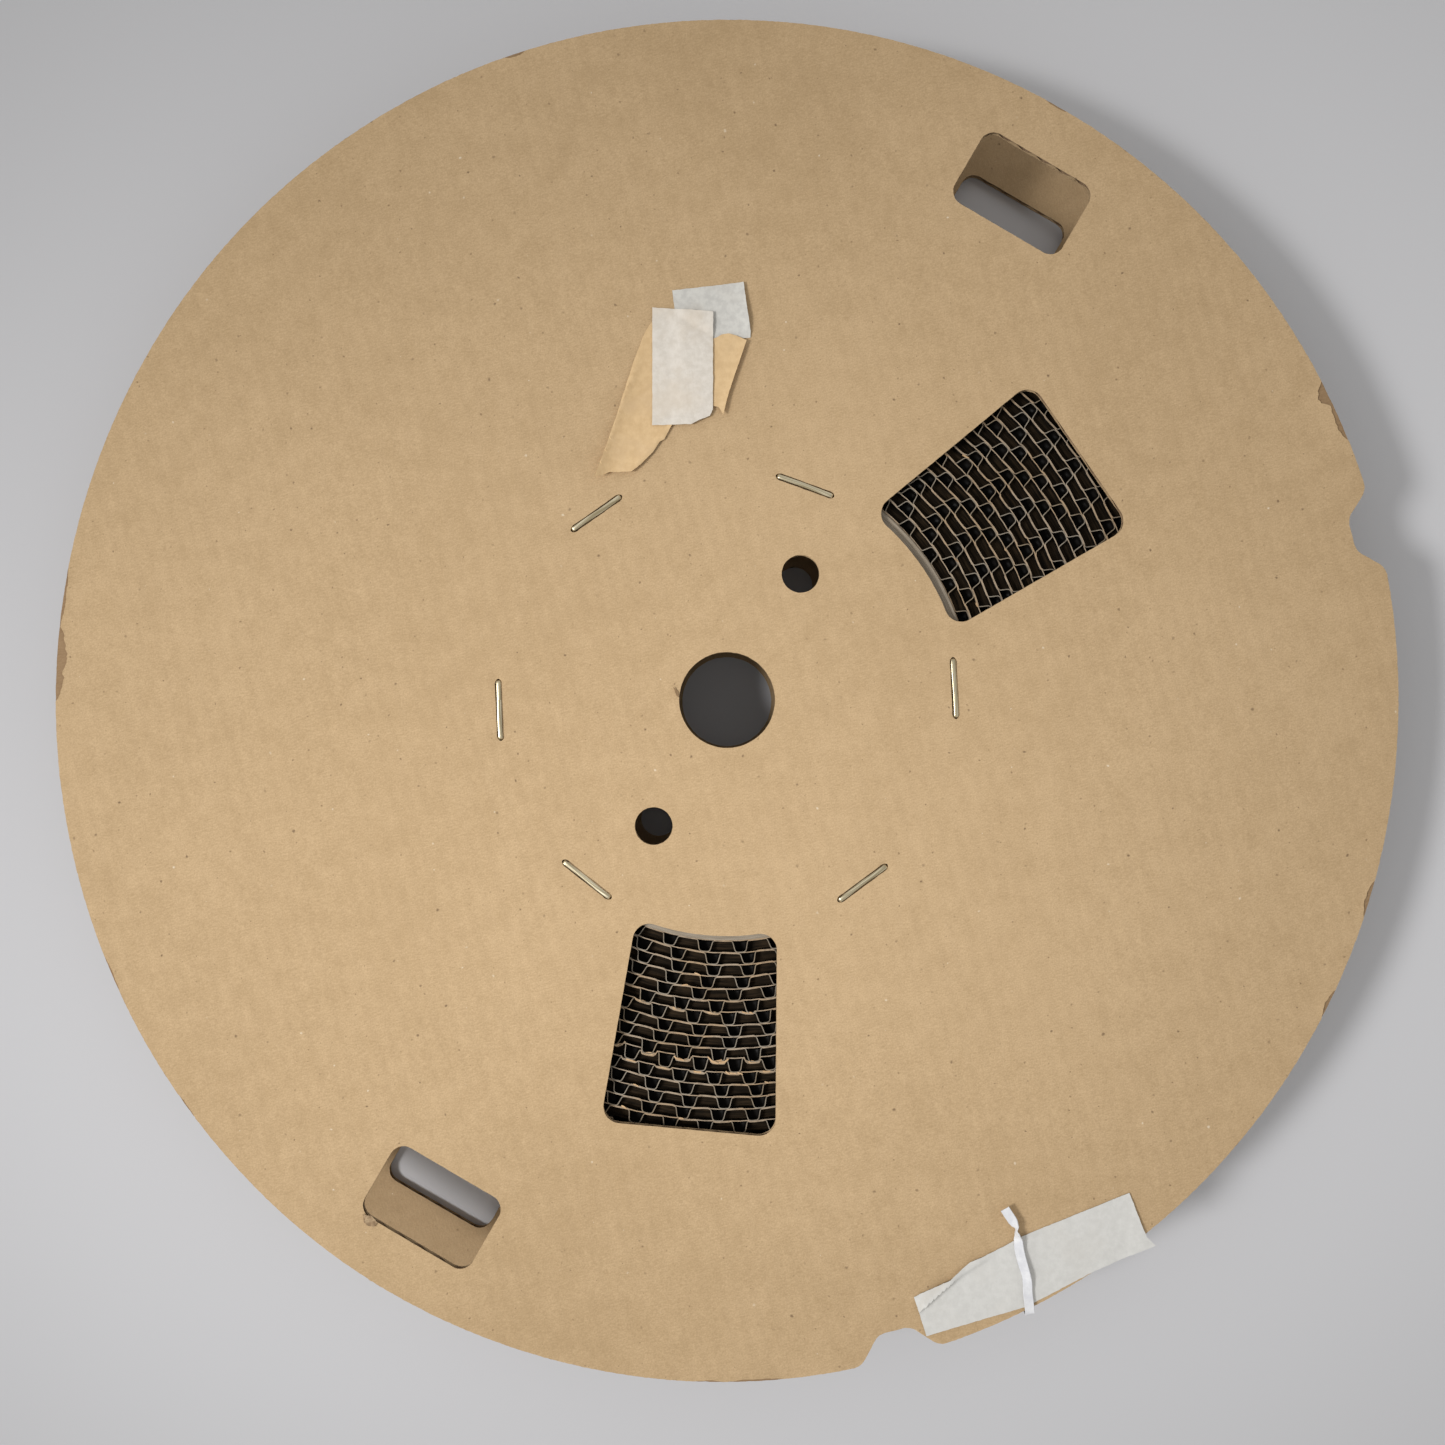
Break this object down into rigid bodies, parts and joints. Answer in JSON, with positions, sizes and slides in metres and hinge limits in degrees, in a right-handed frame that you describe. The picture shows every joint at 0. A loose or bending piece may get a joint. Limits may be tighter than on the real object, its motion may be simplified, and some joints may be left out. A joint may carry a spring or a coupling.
{
  "type": "carrier tape reel",
  "caption": "Large corrugated-board supply reel: two die-cut flanges stapled to a fibre hub, full of embossed carrier tape, with hand holes, windows and an arbor hole.",
  "frame": {"origin": "on the reel's axis, level with the lowest staple crowns, which the reel stands on when it lies flat", "axes": "+Z along the reel's axis, out of the front flange; +Y is up as the front flange is usually seen"},
  "size_m": [0.5588, 0.5588, 0.0587],
  "materials": {
    "kraft_liner": "matte",
    "corrugated_medium": "matte",
    "hub_fibreboard": "matte",
    "staple_wire": "satin",
    "carrier_tape": "satin",
    "masking_paper": "matte",
    "aged_masking_paper": "matte",
    "tie_strip": "satin"
  },
  "bodies": {
    "root": {"front_outer_liner": "kraft_liner", "front_fluting": "corrugated_medium", "front_inner_liner": "kraft_liner", "rear_outer_liner": "kraft_liner", "rear_fluting": "corrugated_medium", "rear_inner_liner": "kraft_liner", "hub_ring": "hub_fibreboard", "front_staple_1": "staple_wire", "front_staple_2": "staple_wire", "front_staple_3": "staple_wire", "front_staple_4": "staple_wire", "front_staple_5": "staple_wire", "front_staple_6": "staple_wire", "rear_staple_1": "staple_wire", "rear_staple_2": "staple_wire", "rear_staple_3": "staple_wire", "rear_staple_4": "staple_wire", "rear_staple_5": "staple_wire", "rear_staple_6": "staple_wire", "carrier_tape_pack": "carrier_tape", "pack_end_tape": "masking_paper", "masking_scrap_top": "masking_paper", "masking_scrap_white": "masking_paper", "masking_scrap_tan_left": "aged_masking_paper", "masking_scrap_tan_right": "aged_masking_paper", "rim_masking_strip": "masking_paper", "twisted_tie": "tie_strip"}
  },
  "joints": []
}
